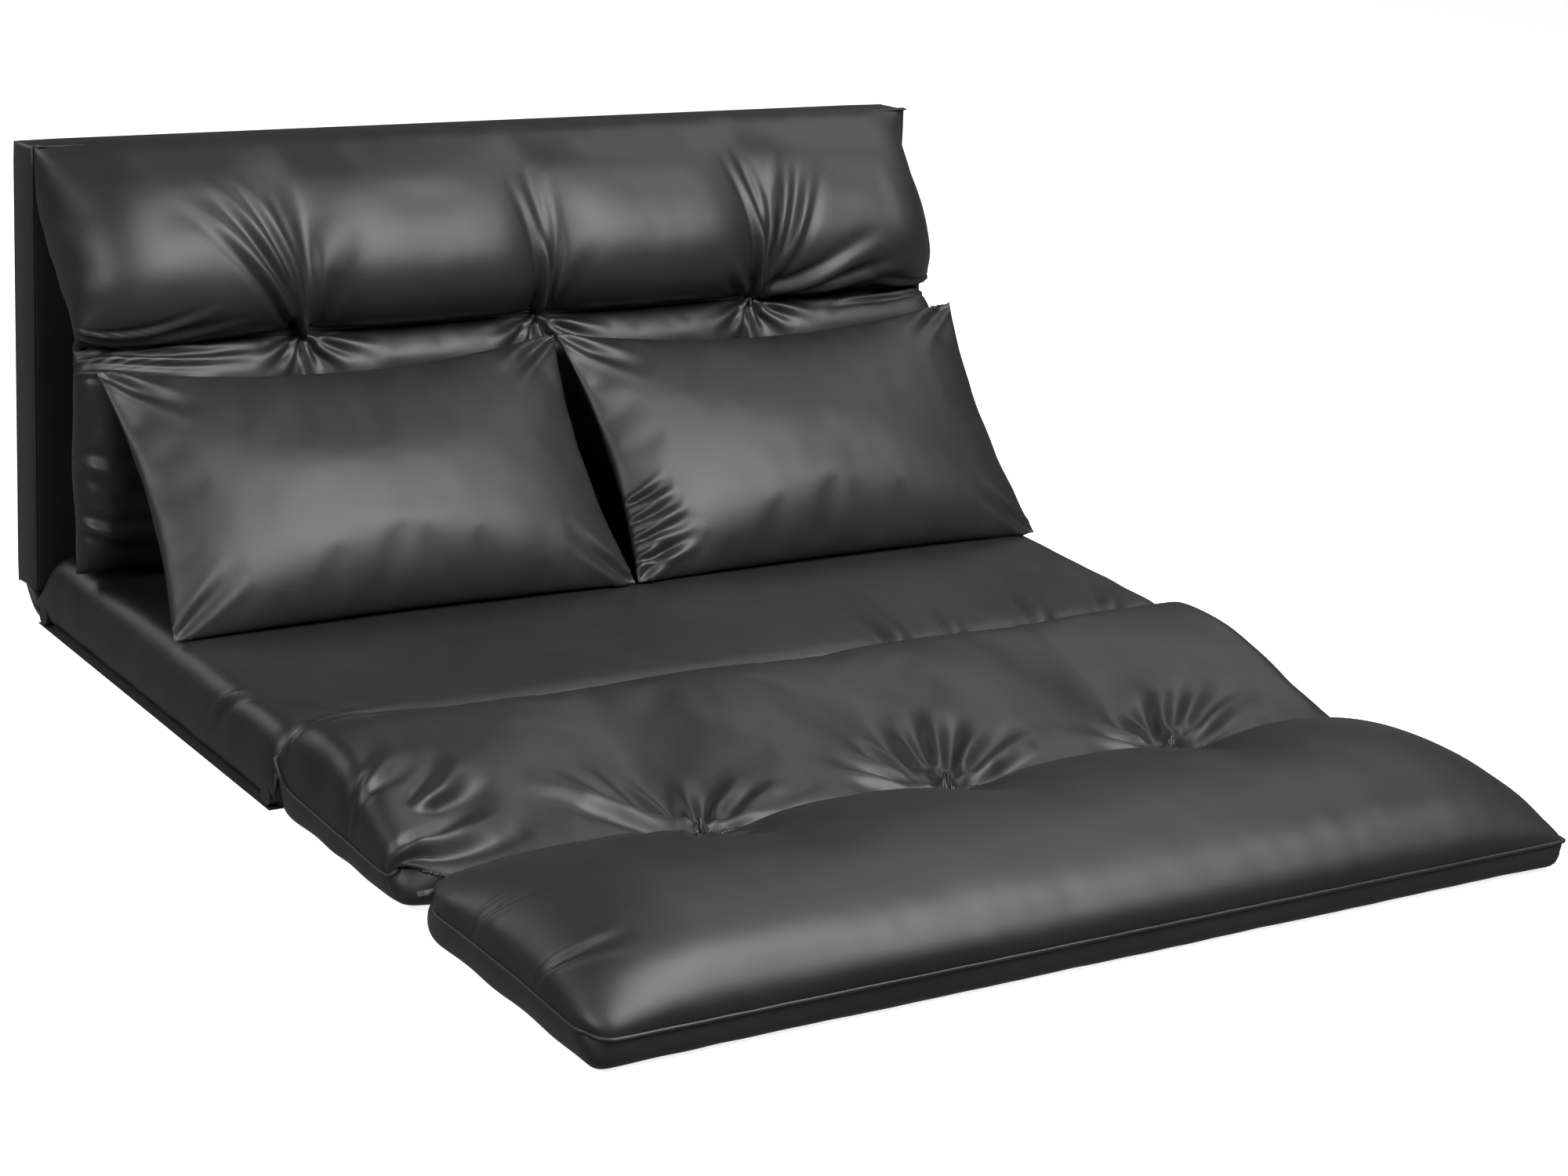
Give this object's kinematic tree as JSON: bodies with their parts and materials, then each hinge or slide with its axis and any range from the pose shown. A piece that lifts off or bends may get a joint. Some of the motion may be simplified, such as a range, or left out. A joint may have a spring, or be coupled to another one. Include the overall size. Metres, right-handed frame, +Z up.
{
  "type": "folding floor sofa",
  "caption": "Legless folding floor sofa in black leatherette: flat seat, ratchet back with tufted hanging pad, folding tufted foot and loose pillows.",
  "frame": {"origin": "on the floor under the middle of the seat cushion", "axes": "+X across the seats, to the right seen from the front; +Y to the back; +Z up"},
  "size_m": [1.1, 1.2219, 0.502],
  "materials": {
    "black_leatherette": "satin",
    "base_cloth": "matte",
    "foam": "matte",
    "stuffing": "matte",
    "webbing": "matte",
    "plug_plastic": "matte",
    "frame_steel": "satin",
    "tuft_cord": "matte",
    "hinge_steel": "satin"
  },
  "bodies": {
    "seat": {"seat_cover": "black_leatherette", "seat_base_cloth": "base_cloth", "seat_foam": "foam", "seat_frame": "frame_steel", "seat_tube_plugs": "plug_plastic", "seat_webbing": "webbing", "seat_hinge_plate_left": "hinge_steel", "seat_hinge_plate_right": "hinge_steel", "hinge_rivets": "hinge_steel", "ratchet_springs": "hinge_steel"},
    "back": {"back_cover": "black_leatherette", "back_front_foam": "foam", "back_rear_foam": "foam", "back_frame": "frame_steel", "back_tube_plugs": "plug_plastic", "back_webbing": "webbing", "back_hinge_plate_left": "hinge_steel", "back_hinge_plate_right": "hinge_steel"},
    "head_pad": {"head_cover": "black_leatherette", "head_filling": "stuffing", "head_tuft_ties": "tuft_cord"},
    "lumbar_pad": {"lumbar_cover": "black_leatherette", "lumbar_filling": "stuffing"},
    "foot_inner": {"foot_inner_cover": "black_leatherette", "foot_inner_filling": "stuffing"},
    "foot_end": {"foot_end_cover": "black_leatherette", "foot_end_filling": "stuffing", "foot_tuft_ties": "tuft_cord"},
    "pillow_left": {"pillow_left_cover": "black_leatherette", "pillow_left_filling": "stuffing"},
    "pillow_right": {"pillow_right_cover": "black_leatherette", "pillow_right_filling": "stuffing"}
  },
  "joints": [
    {"name": "back_recline", "type": "hinge", "parent": "seat", "child": "back", "pos_m": [0, 0.2937, 0.0252], "axis": [1, 0, 0], "range_deg": [-85, 0]},
    {"name": "back_pad_flip", "type": "hinge", "parent": "back", "child": "head_pad", "pos_m": [0, 0.31654, 0.50202], "axis": [-1, 0, 0], "range_deg": [0, 155]},
    {"name": "lumbar_fold", "type": "hinge", "parent": "head_pad", "child": "lumbar_pad", "pos_m": [0, 0.20654, 0.31402], "axis": [-1, 0, 0], "range_deg": [0, 20]},
    {"name": "foot_fold", "type": "hinge", "parent": "seat", "child": "foot_inner", "pos_m": [0, -0.274, 0.078], "axis": [-1, 0, 0], "range_deg": [0, 105]},
    {"name": "foot_end_fold", "type": "hinge", "parent": "foot_inner", "child": "foot_end", "pos_m": [0, -0.552, 0.051], "axis": [-1, 0, 0], "range_deg": [0, 105]},
    {"name": "pillow_left_lift", "type": "slide", "parent": "lumbar_pad", "child": "pillow_left", "axis": [0, -0.7332, 0.68], "range_m": [0, 0.3]},
    {"name": "pillow_right_lift", "type": "slide", "parent": "lumbar_pad", "child": "pillow_right", "axis": [0, -0.7332, 0.68], "range_m": [0, 0.3]}
  ]
}
